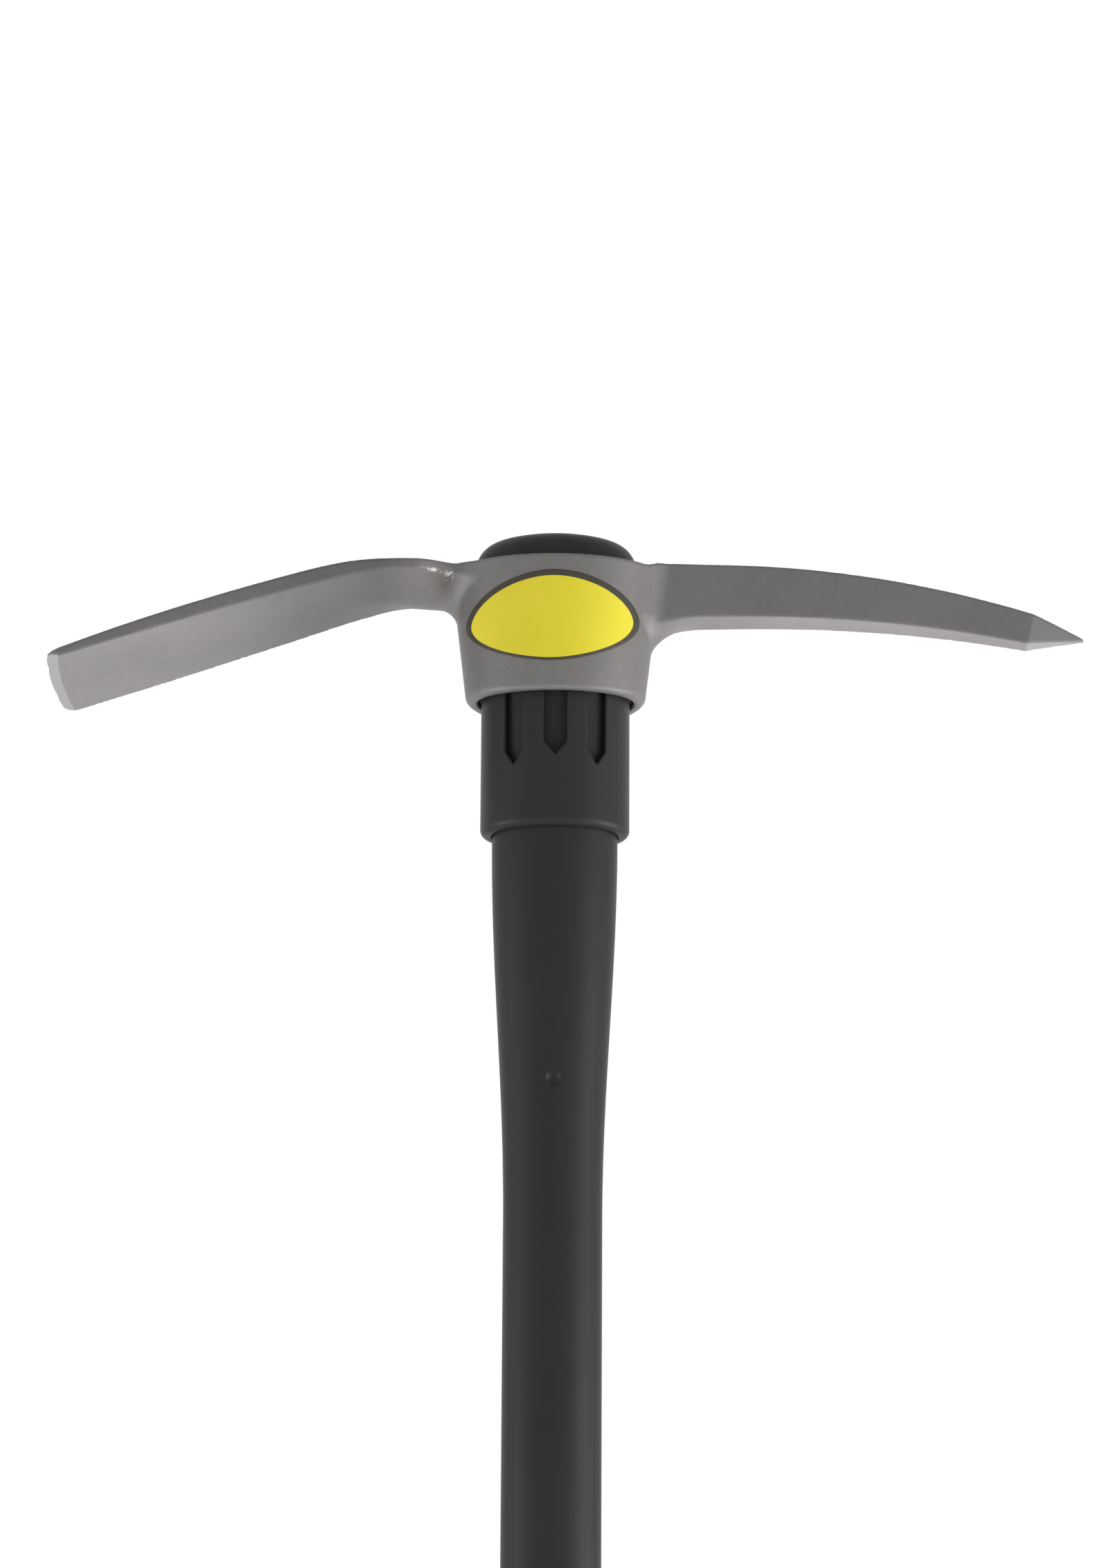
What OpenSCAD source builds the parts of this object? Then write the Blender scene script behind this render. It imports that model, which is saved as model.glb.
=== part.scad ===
// Mattock: forged steel head with a hoe and a pick, on a moulded fibreglass handle.
// +Z runs up the handle, the pick points to +X, the hoe to -X, and the label faces -Y.
// The origin is the middle of the butt's flat end face. All sizes are millimetres.

/* [Overall] */
// Length of the tool from the butt to the crown of the handle
overall_length = 914; // [800:1:1000]
// Depth of the oval handle sections divided by their width
oval = 0.76; // [0.72:0.01:0.84]

/* [Eye] */
// Height of the eye along the handle
eye_height = 54; // [50:0.5:64]
// Inside width of the eye at its lower mouth
eye_mouth_w = 60.8; // [60:0.2:66]
// How much wider the eye is inside at its upper mouth
eye_taper_w = 3.2; // [1.6:0.2:5]
// Wall of the eye at the cheeks and at the lower mouth
eye_wall = 4.2; // [3.4:0.1:6]
// Wall of the eye at its upper ends, where the two arms leave it
eye_end_wall = 9; // [7:0.5:12]
// Rounding of the eye's lower rim
rim_r = 3.4; // [1:0.1:3.4]
// How much higher the lower rim is at its two ends than at the cheeks
rim_lift = 2; // [0:0.1:2.5]
// Rounding of the eye's upper rim
crest_r = 1.2; // [0.4:0.1:2]

/* [Hoe] */
// Distance from the handle's axis to the middle of the cutting edge
hoe_reach = 197; // [175:1:230]
// Width of the hoe at its cutting edge
hoe_edge_w = 75; // [64:1:90]
// Width of the hoe at its shoulders
hoe_shoulder_w = 53; // [46:0.5:60]
// Distance from the handle's axis to the shoulders
hoe_shoulder_at = 56; // [54:0.5:66]
// Width of the waist between the shoulders and the eye
hoe_waist_w = 31; // [26:0.2:36]
// Depth of the waist's upper face below the eye's upper rim
hoe_waist_step = 0.5; // [0.3:0.1:1.5]
// Depth of the shoulders' upper face below the eye's upper rim
hoe_step = 1.7; // [0.6:0.1:4]
// How early the blade spreads from its shoulders to its edge, 1 being evenly
hoe_spread = 2.2; // [1:0.1:3]
// Distance from the handle's axis to the start of the downward bend
hoe_bend_at = 52; // [46:0.5:70]
// Radius of the downward bend
hoe_bend_r = 108; // [80:1:160]
// Slope of the blade beyond the bend, in degrees
hoe_slope = 18; // [10:0.1:24]
// Thickness of the shoulders at their sides
hoe_shoulder_t = 4; // [3:0.1:6]
// Thickness of the blade at its thickest
hoe_blade_t = 5.8; // [4:0.1:8]
// Distance from the handle's axis to the blade's thickest place
hoe_thick_at = 100; // [90:1:130]
// How late the blade thins towards its edge, 1 being evenly
hoe_thinning = 2.5; // [1:0.1:4]
// Thickness where the sharpened bevel starts
hoe_bevel_t = 3; // [2:0.1:3.8]
// Length of the bevel under the cutting edge
hoe_bevel_len = 4.4; // [2:0.1:8]
// Slope of the bevel's face, in degrees
hoe_bevel_slope = 2; // [0:0.5:6]
// Thickness left at the cutting edge
hoe_edge_t = 1; // [0.6:0.1:1.8]
// How far the middle of the cutting edge stands forward of its corners
hoe_edge_bow = 2.7; // [0:0.1:6]
// How far the neck swells below its sides
hoe_belly = 10; // [4:0.5:11]
// How far the back of the neck rises above its sides
hoe_crown = 2; // [0:0.5:5]
// Distance from the handle's axis to where that swelling has run out
hoe_swell_at = 69; // [66:1:130]
// Radius of the fillet under the hoe, into the eye
hoe_fillet_r = 10; // [5:0.5:12]
// Broken edge along the hoe's sides
hoe_edge_break = 0.7; // [0.3:0.1:1.2]

/* [Pick] */
// Distance from the handle's axis to the point
pick_reach = 205.5; // [180:0.5:240]
// Height of the pick at its root
pick_root_h = 22; // [18:0.1:25]
// Width of the pick at its root
pick_root_w = 18; // [15:0.1:21]
// How far the pick's back stands above the eye's upper rim
pick_rise = 2.1; // [0.5:0.1:3]
// How far it dips below that rim where it joins the eye
pick_dip = 0.4; // [0.2:0.1:1]
// Height of the pick where its point starts
pick_end_h = 12.6; // [9:0.1:15]
// Width of the pick where its point starts
pick_end_w = 10.6; // [8:0.1:13]
// How late the pick thins towards its point, 1 being evenly
pick_thinning = 1.7; // [1:0.1:2.5]
// Length of the four-sided point
pick_point_len = 20.5; // [12:0.5:32]
// Width of the blunt end of the point
pick_tip_w = 1.2; // [0.6:0.1:2.5]
// How far the tip lies above the middle of the pick's line
pick_tip_lift = 2.2; // [0:0.1:4]
// Distance from the handle's axis to the start of the downward curve
pick_bend_at = 70; // [62:1:90]
// Radius of the downward curve
pick_bend_r = 485; // [330:5:700]
// Rounding of the pick's long edges
pick_edge_r = 1.6; // [0.8:0.1:3]
// Rounding of those edges where they run into the eye
pick_root_r = 8; // [4:0.5:10]
// Radius of the fillet under the pick, into the eye
pick_fillet_r = 18.5; // [10:0.5:20]
// How far each side of the pick spreads where it joins the eye
pick_spread = 6; // [4:0.5:7]
// Length over which the sides spread
pick_spread_len = 22; // [20:0.5:40]

/* [Handle] */
// Height of the crown above the eye's upper rim
crown_rise = 14.8; // [13:0.1:20]
// Height of the crown's dome above its rounded edge
crown_dome = 3.8; // [2:0.1:4.5]
// Rounding of the crown's edge
crown_edge_r = 9.4; // [6:0.1:10]
// How much narrower each side of the crown is than the bulb below it
crown_inset = 0.3; // [0.2:0.1:1.2]
// Length of the bulb that fills the upper part of the eye
bulb_len = 22; // [16:0.5:24]
// Height of the bulb's lower shoulder
bulb_shoulder_h = 7.4; // [5:0.1:8]
// Width of the neck under the bulb's shoulder
neck_top_w = 52.4; // [51:0.2:54]
// Width of the neck just below the collar
neck_w = 48.5; // [46:0.1:50]
// Width of the shaft
shaft_w = 37.6; // [36:0.1:42]
// Length over which the neck narrows to the shaft
neck_len = 150; // [110:1:200]
// Diameter of the fibreglass core
core_d = 20; // [16:0.5:21]
// Moulded material over the upper end of the core
core_cover = 14; // [8:0.5:24]
// Diameter of the round dimple on the front of the shaft
dimple_d = 6.2; // [4:0.1:8]
// Depth of that dimple
dimple_depth = 1.2; // [0.6:0.1:2]
// Distance of the dimple below the eye's upper rim
dimple_drop = 205; // [170:1:240]

/* [Collar] */
// Width of the collar below the eye
collar_w = 57.6; // [56.6:0.1:58.4]
// Length of the collar that shows below the eye
collar_len = 52.8; // [44:0.5:64]
// Rounding of the collar's lower edge
collar_foot_r = 3.8; // [1.5:0.1:4]
// Length of the collar's fingers inside the eye
finger_len = 18; // [12:0.5:20]
// How far inside the mouth the fingers start to fill it
finger_start = 1.6; // [0.5:0.1:4]
// Width of the middle slot
slot_mid_w = 9; // [5:0.1:10]
// Width of the two outer slots, which are cut square to the collar's curve
slot_side_w = 7.7; // [4:0.1:8.5]
// Distance between the middles of neighbouring slots
slot_pitch = 16.1; // [14:0.1:18]
// How far the middle slot reaches below the eye
slot_mid_drop = 25; // [15:0.5:36]
// How far the outer slots reach below the eye
slot_side_drop = 28; // [15:0.5:36]
// Height of the slots' pointed lower ends
slot_point_h = 5.5; // [3:0.1:8]

/* [Grip] */
// Length of the grip sleeve
grip_len = 290; // [200:1:340]
// Wall of the grip sleeve over the handle
grip_wall = 3.2; // [2.6:0.1:3.8]
// How far the sleeve stands proud of the shaft
grip_proud = 1; // [0.4:0.1:2]
// Broken edge around the sleeve's upper end
grip_lip = 0.8; // [0.4:0.1:1.2]
// Width of the flared butt
butt_w = 48; // [46:0.5:56]
// Height over which the butt flares
butt_h = 46; // [30:1:70]
// Thickness of the closed end
butt_floor = 9; // [6:0.5:14]
// Rounding of the butt's lower edge
butt_r = 4; // [2:0.5:6]
// Number of anti-slip grooves around the sleeve
groove_count = 18; // [6:1:22]
// Plain length at each end of the grooved part
groove_margin = 14; // [8:1:24]
// Width of a groove
groove_w = 3; // [1.5:0.1:4]
// Depth of a groove
groove_depth = 0.9; // [0.4:0.1:1.4]

/* [Label] */
// Width of the label across the front cheek
label_w = 66.4; // [50:0.2:67]
// Height of the label
label_h = 36.2; // [26:0.2:38]
// Thickness of the label
label_t = 0.25; // [0.2:0.05:0.5]
// Distance of the label's middle below the eye's upper rim
label_drop = 25; // [22:0.5:27]
// Distance of the label's middle from the handle's axis, towards the hoe
label_shift = 1.2; // [0:0.1:1.5]
// Turn of the label on the cheek that lifts its end towards the pick, in degrees
label_turn = 1.4; // [0:0.1:2]
// Power of the label's outline: 2 makes a plain oval, and less makes its ends more pointed
label_power = 1.8; // [1.6:0.05:2]

/* [Fits] */
// Thickness of the resin gap between the bulb and the eye
bond_gap = 0.5; // [0.3:0.05:1]
// Free gap on each face of the resin layer
bond_clear = 0.06; // [0.05:0.01:0.1]
// Gap between the collar and the handle
collar_clear = 0.2; // [0.1:0.05:0.4]
// Gap between the collar's fingers and the mouth of the eye
finger_clear = 0.3; // [0.1:0.05:0.6]
// Gap between the core and its bore
core_clear = 0.1; // [0.05:0.05:0.3]
// Gap between the grip sleeve and the handle
grip_clear = 0.1; // [0.05:0.05:0.3]

/* [Hidden] */
$fn = 96;

// How finely curves and forged faces are divided
eye_facets = 64;
round_steps = 4;
corner_steps = 3;
blade_steps = 12;
root_stations = 12;
arm_stations = 12;
root_crowding = 1.4;
curve_steps = 14;
label_points = 60;
// Overlap that lets cuts pass clean through
cut_margin = 1;

// Heights along the handle
eye_top = overall_length - crown_rise;
eye_bottom = eye_top - eye_height;
collar_bottom = eye_bottom - collar_len;
finger_top = eye_bottom + finger_len;
bulb_bottom = eye_top - bulb_len;
neck_top = bulb_bottom - bulb_shoulder_h;

// Half widths of the eye: inside at both mouths, then outside at the arms and the cheeks
mouth_half = eye_mouth_w / 2;
throat_half = mouth_half + eye_taper_w / 2;
end_top = throat_half + eye_end_wall;
end_bottom = mouth_half + eye_wall;
cheek_top = throat_half * oval + eye_wall;
cheek_bottom = mouth_half * oval + eye_wall;

// Half widths along the handle
sleeve_half = shaft_w / 2 + grip_proud;
bore_half = sleeve_half - grip_wall;
crown_half = throat_half - bond_gap - crown_inset;
finger_half = mouth_half - finger_clear;
// Half depth of the cut that makes a slot, well over the collar's wall
slot_cut = finger_half - neck_w / 2 + cut_margin;

function mix(a, b, t) = a + (b - a) * t;
function clamp01(t) = max(0, min(1, t));
function ease(t) = (1 - cos(180 * clamp01(t))) / 2;

// Share of the eye's height at a level, and its half widths there
function eye_share(z) = (z - eye_bottom) / eye_height;
function eye_inside(z) = mix(mouth_half, throat_half, eye_share(z));
function eye_end(z) = mix(end_bottom, end_top, eye_share(z));

// Half width of the handle inside the collar
function neck_half(z) = mix(neck_w, neck_top_w, (z - collar_bottom) / (neck_top - collar_bottom)) / 2;

// Depth of a round fillet at a distance from the wall that it runs into
function fillet_depth(r, gap) =
    let (run = r - max(gap, r / 12))
    run <= 0 ? 0 : r - sqrt(r * r - run * run);

// Skin over a row of rings of equal point counts, the first half of each facing its second half
module skin(rings) {
    n = len(rings[0]);
    last = (len(rings) - 1) * n;
    sides = [
        for (j = [0 : len(rings) - 2], i = [0 : n - 1])
        let (a = j * n + i, b = j * n + (i + 1) % n)
        each [[a, b, b + n], [a, b + n, a + n]]
    ];
    caps = [
        for (i = [0 : n / 2 - 2])
        let (b = i + 1, c = n - 2 - i, d = n - 1 - i)
        each [[i, c, b], [i, d, c], [last + i, last + b, last + c], [last + i, last + c, last + d]]
    ];
    polyhedron([for (ring = rings) each ring], concat(sides, caps));
}

// Turned form squeezed to the handle's oval, made in two halves like the halves of its mould
module oval_turned(outline) {
    for (half = [0, 180])
        scale([1, oval, 1]) rotate([0, 0, half]) rotate_extrude(angle = 180) polygon(outline);
}

// Outside of the eye
function eye_ring(z, inset, grow) =
    let (a = eye_end(z) - inset + grow,
         b = mix(cheek_bottom, cheek_top, eye_share(z)) - inset + grow)
    [for (i = [0 : eye_facets - 1])
        let (turn = 180 - (i + 0.5) * 360 / eye_facets,
             lift = rim_lift * pow(cos(turn), 4) * (1 - eye_share(z)))
        [a * cos(turn), b * sin(turn), z + lift]];

module eye_outside(grow = 0) {
    quarter = 90 / round_steps;
    rim = [for (k = [0 : round_steps])
        eye_ring(eye_bottom + rim_r * (1 - cos(k * quarter)), rim_r * (1 - sin(k * quarter)), grow)];
    middle = [eye_ring(mix(eye_bottom, eye_top, 0.5), 0, grow)];
    crest = [for (k = [0 : round_steps])
        eye_ring(eye_top - crest_r * (1 - sin(k * quarter)), crest_r * (1 - cos(k * quarter)), grow)];
    skin(concat(rim, middle, crest));
}

// Tapered oval hole of the eye, passing clean through
module eye_hole() {
    low = eye_bottom - cut_margin;
    high = eye_top + cut_margin;
    oval_turned([[0, low], [eye_inside(low), low], [eye_inside(high), high], [0, high]]);
}

// Both arms start inside the hole, which then cuts them off at the wall
arm_start = mouth_half / 2;
root_overlap = 2 * eye_wall;
hoe_wall = eye_end(eye_top - hoe_step - hoe_shoulder_t - hoe_belly);
pick_wall = eye_end(eye_top + pick_rise - pick_root_h - pick_fillet_r / 3);

// Depth that a fillet adds under an arm, by the distance from the eye's round end
function root_fillet(r, wall, x, y) =
    fillet_depth(r, x - wall * sqrt(1 - pow(min(1, abs(y) / cheek_top), 2)));

// Hoe: places along it are distances from the handle's axis
bevel_at = hoe_reach - hoe_edge_bow - hoe_bevel_len;
edge_at = hoe_reach - hoe_edge_bow;
bend_end = hoe_bend_at + hoe_bend_r * sin(hoe_slope);

function bend_depth(x) =
    x <= hoe_bend_at ? 0 :
    x >= bend_end ? hoe_bend_r * (1 - cos(hoe_slope)) + (x - bend_end) * tan(hoe_slope) :
    hoe_bend_r * (1 - cos(asin((x - hoe_bend_at) / hoe_bend_r)));
function hoe_under(x) =
    eye_top - mix(hoe_waist_step, hoe_step, hoe_widening(x)) - hoe_shoulder_t
    - (x <= bevel_at ? bend_depth(x) : bend_depth(bevel_at) + (x - bevel_at) * tan(hoe_bevel_slope));
function hoe_thick(x) =
    x <= hoe_thick_at ? mix(hoe_shoulder_t, hoe_blade_t,
                            ease((x - hoe_shoulder_at) / (hoe_thick_at - hoe_shoulder_at))) :
    x <= bevel_at ? mix(hoe_blade_t, hoe_bevel_t,
                        pow((x - hoe_thick_at) / (bevel_at - hoe_thick_at), hoe_thinning)) :
    mix(hoe_bevel_t, hoe_edge_t, (x - bevel_at) / (edge_at - bevel_at));
function hoe_widening(x) = pow(sin(90 * clamp01((x - hoe_wall) / (hoe_shoulder_at - hoe_wall))), 1.25);
function hoe_half(x) =
    x <= hoe_shoulder_at ? mix(hoe_waist_w, hoe_shoulder_w, hoe_widening(x)) / 2 :
    mix(hoe_edge_w, hoe_shoulder_w,
        pow(1 - (x - hoe_shoulder_at) / (edge_at - hoe_shoulder_at), hoe_spread)) / 2;
function hoe_swell(x) = 1 - ease((x - hoe_wall) / (hoe_swell_at - hoe_wall));

function hoe_ring(x) =
    let (half = hoe_half(x),
         under = hoe_under(x),
         top = under + hoe_thick(x),
         nick = min(hoe_edge_break, hoe_thick(x) / 4),
         rise = hoe_crown * hoe_swell(x),
         belly = hoe_belly * hoe_swell(x),
         side_under = under + nick - root_fillet(hoe_fillet_r, hoe_wall, x, half),
         bow = hoe_edge_bow * pow(clamp01((x - hoe_shoulder_at) / (bevel_at - hoe_shoulder_at)), 4),
         across = [for (i = [0 : blade_steps]) 2 * i / blade_steps - 1])
    concat(
        [[x, -half, top - nick]],
        [for (u = across) [x + bow * (1 - u * u), u * (half - nick), top + rise * (1 - u * u)]],
        [[x, half, top - nick], [x, half, side_under]],
        [for (u = across)
            let (y = -u * (half - nick),
                 sunk = root_fillet(hoe_fillet_r, hoe_wall, x, y))
            [x + bow * (1 - u * u), y, under - belly * (1 - u * u) - sunk]],
        [[x, -half, side_under]]);

module hoe() {
    root = [for (i = [0 : root_stations])
        mix(hoe_wall - root_overlap, hoe_shoulder_at, pow(i / root_stations, root_crowding))];
    blade = [for (i = [1 : arm_stations]) mix(hoe_shoulder_at, bevel_at, i / arm_stations)];
    mirror([1, 0, 0]) skin([for (x = concat([arm_start], root, blade, [edge_at])) hoe_ring(x)]);
}

// Pick: a bar that tapers along a straight root and a round downward curve
point_at = pick_reach - pick_point_len;
pick_middle = eye_top + pick_rise - pick_root_h / 2;

function pick_tilt(x) = x <= pick_bend_at ? 0 : asin((x - pick_bend_at) / pick_bend_r);
function pick_line(x) = pick_middle - pick_bend_r * (1 - cos(pick_tilt(x)));
function pick_taper(x) = pow(clamp01((x - pick_wall) / (point_at - pick_wall)), pick_thinning);
function pick_flare(x) = pow(1 - clamp01((x - pick_wall + eye_wall) / pick_spread_len), 2);

// Rounded bar section, tilted with the pick's line and sunk into the fillet at its root
function bar_ring(x, z, tilt, half_w, up, down, r) =
    let (corners = [[-1, up, 180], [1, up, 90], [1, -down, 0], [-1, -down, -90]])
    [for (c = corners, k = [0 : corner_steps])
        let (turn = c[2] - k * 90 / corner_steps,
             y = c[0] * (half_w - r) + r * cos(turn),
             sunk = c[1] > 0 ? 0 : root_fillet(pick_fillet_r, pick_wall, x, y),
             v = c[1] - sign(c[1]) * r + r * sin(turn) - sunk)
        [x + v * sin(tilt), y, z + v * cos(tilt)]];

function pick_ring(x) =
    let (h = mix(pick_root_h, pick_end_h, pick_taper(x)),
         w = mix(pick_root_w, pick_end_w, pick_taper(x)),
         r = mix(pick_edge_r, pick_root_r, pick_flare(x)))
    bar_ring(x, pick_line(x), pick_tilt(x), w / 2 + pick_spread * pick_flare(x),
             h / 2 - (pick_rise + pick_dip) * pow(pick_flare(x), 3),
             h / 2, r);

module pick() {
    spread_end = pick_wall + pick_spread_len;
    root = [for (i = [0 : root_stations])
        mix(pick_wall - root_overlap, spread_end, pow(i / root_stations, root_crowding))];
    bar = [for (i = [1 : arm_stations]) mix(spread_end, point_at, i / arm_stations)];
    tip = bar_ring(pick_reach, pick_line(pick_reach) + pick_tip_lift, pick_tilt(pick_reach),
                   pick_tip_w / 2, pick_tip_w / 2, pick_tip_w / 2, pick_tip_w / 4);
    skin(concat([for (x = concat([arm_start], root, bar)) pick_ring(x)], [tip]));
}

module mattock_head() {
    color([0.47, 0.47, 0.46]) difference() {
        union() {
            eye_outside();
            hoe();
            pick();
        }
        eye_hole();
    }
}

// Outline of the crown, from the eye's upper rim to its middle
function crown_outline() =
    let (edge_x = crown_half - crown_edge_r,
         lean = atan(2 * crown_dome / (edge_x + crown_edge_r / 2)),
         edge_z = overall_length - crown_dome - crown_edge_r * cos(lean),
         dome_x = edge_x + crown_edge_r * sin(lean))
    concat(
        [for (k = [0 : curve_steps])
            let (turn = (90 - lean) * k / curve_steps)
            [edge_x + crown_edge_r * cos(turn), edge_z + crown_edge_r * sin(turn)]],
        [for (k = [1 : curve_steps])
            let (t = 1 - k / curve_steps)
            [dome_x * t, overall_length - crown_dome * t * t]]);

module handle_jacket() {
    seat_half = bore_half - grip_clear;
    low = butt_floor + grip_clear;
    step_at = grip_len + grip_clear;
    neck = [for (i = [0 : curve_steps])
        let (t = i / curve_steps)
        [mix(shaft_w, neck_w, ease(t)) / 2, mix(collar_bottom - neck_len, collar_bottom, t)]];
    bulb = [[neck_top_w / 2, neck_top],
            [eye_inside(bulb_bottom) - bond_gap, bulb_bottom],
            [throat_half - bond_gap, eye_top]];
    foot = [[0, low], [seat_half, low], [seat_half, step_at], [shaft_w / 2, step_at]];
    dimple_r = (dimple_d * dimple_d / 4 + dimple_depth * dimple_depth) / (2 * dimple_depth);
    dimple_z = eye_top - dimple_drop;
    dimple_share = (dimple_z - collar_bottom + neck_len) / neck_len;
    dimple_front = mix(shaft_w, neck_w, ease(dimple_share)) / 2 * oval;
    color([0.13, 0.13, 0.13]) difference() {
        oval_turned(concat(foot, neck, bulb, crown_outline()));
        translate([0, 0, low - cut_margin])
            cylinder(d = core_d + 2 * core_clear,
                     h = overall_length - core_cover + core_clear - low + cut_margin);
        translate([0, dimple_depth - dimple_front - dimple_r, dimple_z]) sphere(r = dimple_r);
    }
}

module fibreglass_core() {
    low = butt_floor + grip_clear;
    color([0.86, 0.80, 0.55])
        translate([0, 0, low]) cylinder(d = core_d, h = overall_length - core_cover - low);
}

module eye_bond() {
    inner = bond_gap - bond_clear;
    color([0.75, 0.70, 0.52]) difference() {
        oval_turned([[0, bulb_bottom],
                     [eye_inside(bulb_bottom) - bond_clear, bulb_bottom],
                     [throat_half - bond_clear, eye_top],
                     [0, eye_top]]);
        oval_turned([[0, bulb_bottom],
                     [eye_inside(bulb_bottom) - inner, bulb_bottom],
                     [throat_half - inner, eye_top],
                     [0, eye_top]]);
    }
}

// Slot through the front wall and the back wall of the collar, square to its curve
module collar_slot(x, w, drop) {
    tip = eye_bottom - drop;
    face = oval * sqrt(collar_w * collar_w / 4 - x * x);
    lean = atan(x * oval * oval / face);
    for (side = [0, 1])
        mirror([0, side, 0])
        translate([x, -face, 0])
        rotate([90, 0, lean])
        translate([0, 0, -slot_cut])
        linear_extrude(2 * slot_cut)
            polygon([[0, tip],
                     [w / 2, tip + slot_point_h],
                     [w / 2, finger_top + cut_margin],
                     [-w / 2, finger_top + cut_margin],
                     [-w / 2, tip + slot_point_h]]);
}

module wedge_collar() {
    outer = collar_w / 2;
    quarter = 90 / round_steps;
    foot = [for (k = [0 : round_steps])
        [outer - collar_foot_r * (1 - sin(k * quarter)),
         collar_bottom + collar_foot_r * (1 - cos(k * quarter))]];
    fill_at = eye_bottom + finger_start;
    wall = [[outer, fill_at],
            [finger_half, fill_at + finger_half - outer],
            [finger_half, finger_top],
            [neck_half(finger_top) + collar_clear, finger_top],
            [neck_half(collar_bottom) + collar_clear, collar_bottom]];
    color([0.16, 0.16, 0.16]) difference() {
        oval_turned(concat(foot, wall));
        collar_slot(0, slot_mid_w, slot_mid_drop);
        for (side = [-1, 1]) collar_slot(side * slot_pitch, slot_side_w, slot_side_drop);
    }
}

module grip_sleeve() {
    quarter = 90 / round_steps;
    foot = [for (k = [0 : round_steps])
        [butt_w / 2 - butt_r * (1 - sin(k * quarter)), butt_r * (1 - cos(k * quarter))]];
    flare = [for (k = [1 : curve_steps])
        let (t = k / curve_steps)
        [mix(butt_w / 2, sleeve_half, ease(t)), mix(butt_r, butt_h, t)]];
    pitch = (grip_len - butt_h - 2 * groove_margin) / (groove_count - 1);
    grooves = [for (k = [0 : groove_count - 1])
        let (z = butt_h + groove_margin + k * pitch)
        each [[sleeve_half, z - groove_w / 2],
              [sleeve_half - groove_depth, z - groove_w / 4],
              [sleeve_half - groove_depth, z + groove_w / 4],
              [sleeve_half, z + groove_w / 2]]];
    lip = [[sleeve_half, grip_len - grip_lip],
           [sleeve_half - grip_lip, grip_len],
           [bore_half, grip_len],
           [bore_half, butt_floor],
           [0, butt_floor]];
    color([0.10, 0.10, 0.10])
        oval_turned(concat([[0, 0]], foot, flare, grooves, lip));
}

// Place along a half width of the label, from a sine
function bowed(v) = sign(v) * pow(abs(v), 2 / label_power);

module label() {
    color([0.96, 0.88, 0.22]) intersection() {
        difference() {
            eye_outside(label_t);
            eye_outside();
        }
        translate([-label_shift, 0, eye_top - label_drop])
            rotate([90, 0, 0])
            linear_extrude(cheek_top + cut_margin)
            rotate(label_turn)
            polygon([for (i = [0 : label_points - 1])
                let (turn = i * 360 / label_points)
                [label_w / 2 * bowed(cos(turn)), label_h / 2 * bowed(sin(turn))]]);
    }
}

mattock_head();
handle_jacket();
fibreglass_core();
eye_bond();
wedge_collar();
grip_sleeve();
label();
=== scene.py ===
import math

import bpy
import numpy as np
from mathutils import Matrix, Vector


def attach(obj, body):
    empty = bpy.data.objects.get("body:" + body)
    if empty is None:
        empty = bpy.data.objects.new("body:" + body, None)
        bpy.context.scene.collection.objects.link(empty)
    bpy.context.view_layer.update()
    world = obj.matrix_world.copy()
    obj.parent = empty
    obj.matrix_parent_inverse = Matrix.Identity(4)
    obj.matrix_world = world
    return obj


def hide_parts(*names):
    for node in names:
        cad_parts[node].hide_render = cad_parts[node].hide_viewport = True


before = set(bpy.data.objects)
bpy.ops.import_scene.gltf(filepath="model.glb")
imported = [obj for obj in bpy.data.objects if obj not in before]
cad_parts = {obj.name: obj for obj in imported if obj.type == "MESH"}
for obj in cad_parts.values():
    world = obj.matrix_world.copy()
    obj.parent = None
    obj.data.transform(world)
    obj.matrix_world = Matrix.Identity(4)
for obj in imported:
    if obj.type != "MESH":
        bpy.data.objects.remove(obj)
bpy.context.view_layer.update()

MM = 0.001
scene = bpy.context.scene

# Sizes are in millimetres, and most are those of the CAD source. +Z runs up the handle from
# the butt, +X to the pick's point, -X to the hoe's edge, and -Y is the front with the label.
OVERALL = 914.0
OVAL = 0.76  # depth of the oval sections, as a share of their width

# The eye: half widths of its hole at the lower mouth and at the top, then its walls and rims
CROWN_RISE = 14.8
EYE_TOP = OVERALL - CROWN_RISE
EYE_H = 54.0
EYE_BOTTOM = EYE_TOP - EYE_H
EYE_MARGIN = 0.3  # how far its taper goes on past its ends, as a share of its height
MOUTH, THROAT = 30.4, 32.0
EYE_WALL, END_WALL_HIGH = 4.2, 9.0
END_LOW, END_HIGH = MOUTH + EYE_WALL, THROAT + END_WALL_HIGH
CHEEK_LOW, CHEEK_HIGH = MOUTH * OVAL + EYE_WALL, THROAT * OVAL + EYE_WALL
RIM_R_FRONT, RIM_R_END, RIM_LIFT = 0.8, 2.2, 1.3
TOP_R, HOLE_R = 0.9, 0.5
TOP_BLEND_AT, TOP_BLEND = 33, 8  # where the flat top runs into the tops of the arms
ARM_START = 15.2

# The hoe, by its distance from the handle's axis
HOE_WALL = 39.3
HOE_REACH, HOE_BOW, HOE_CORNER_R = 196.2, 1.6, 3.5
HOE_BEVEL, HOE_BEVEL_SLOPE = 4.4, math.radians(2.0)
HOE_EDGE_AT = HOE_REACH - HOE_BOW
HOE_BEVEL_AT = HOE_EDGE_AT - HOE_BEVEL
HOE_SHOULDER_AT, HOE_SWELL_AT, HOE_THICK_AT = 56.0, 69.0, 100.0
HOE_ROOT_HALF, HOE_SHOULDER_HALF, HOE_EDGE_HALF = 15.5, 26.5, 37.5
HOE_NECK_POWER, HOE_BLADE_POWER, HOE_THIN_POWER, HOE_BOW_POWER = 1.25, 2.2, 2.5, 4
HOE_BEND_AT, HOE_BEND_R, HOE_SLOPE = 52.0, 108.0, math.radians(18.0)
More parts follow.
